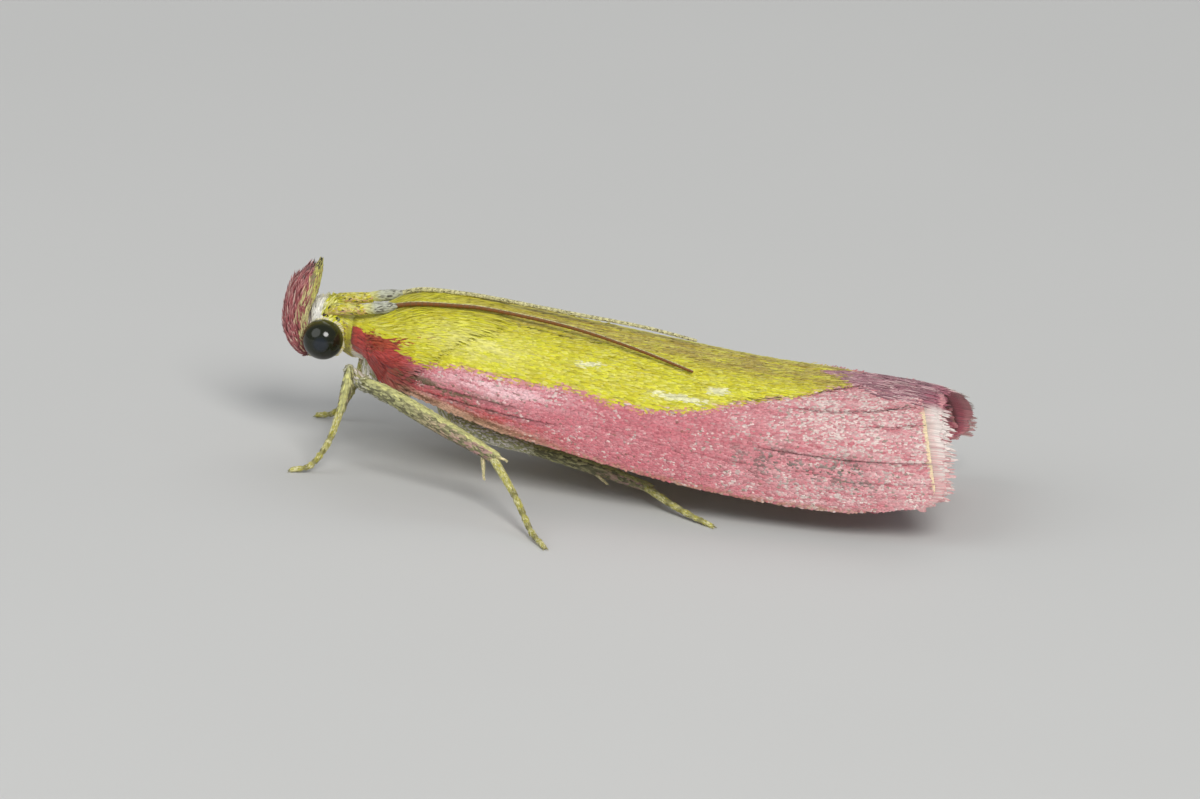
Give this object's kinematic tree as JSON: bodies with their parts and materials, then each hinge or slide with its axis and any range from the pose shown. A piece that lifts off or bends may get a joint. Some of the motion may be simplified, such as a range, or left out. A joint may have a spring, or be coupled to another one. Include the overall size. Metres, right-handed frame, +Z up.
{
  "type": "rosy-striped knot-horn moth",
  "caption": "Still life-size moth at rest: slender body under long forewings folded into one vault with fringed ends, upturned palps, knotted antennae laid back, legs on the floor.",
  "frame": {"origin": "centre of the bounding box at floor level, under the middle of the folded wings", "axes": "+X from head to wing tips, +Y to the moth's right, +Z up; the head points to -X and the feet stand on z = 0"},
  "size_m": [0.0144, 0.01, 0.0041],
  "materials": {
    "yellow_coat": "silky overlapping yellow scales with a satin sheen",
    "forewing_scales": "rosy pink and bright yellow wing scales with a soft sheen",
    "hindwing_scales": "matt grey-buff thin scaled membrane",
    "abdomen_scales": "matt cream-buff scales in bands",
    "pink_tuft": "matt rosy hair-like scales",
    "eye": "glossy black compound eye with an olive rim",
    "antenna": "satin red-brown horn with cream scales",
    "leg_scales": "cream to yellow fine scales"
  },
  "bodies": {
    "root": {"head": "yellow_coat", "thorax": "yellow_coat", "abdomen": "abdomen_scales", "eye_left": "eye", "eye_right": "eye", "palp_left": "pink_tuft", "palp_right": "pink_tuft", "antenna_left": "antenna", "antenna_right": "antenna", "forewing_left": "forewing_scales", "forewing_right": "forewing_scales", "hindwing_left": "hindwing_scales", "hindwing_right": "hindwing_scales", "leg_fore_left": "leg_scales", "leg_fore_right": "leg_scales", "leg_mid_left": "leg_scales", "leg_mid_right": "leg_scales", "leg_hind_left": "leg_scales", "leg_hind_right": "leg_scales"}
  },
  "joints": []
}
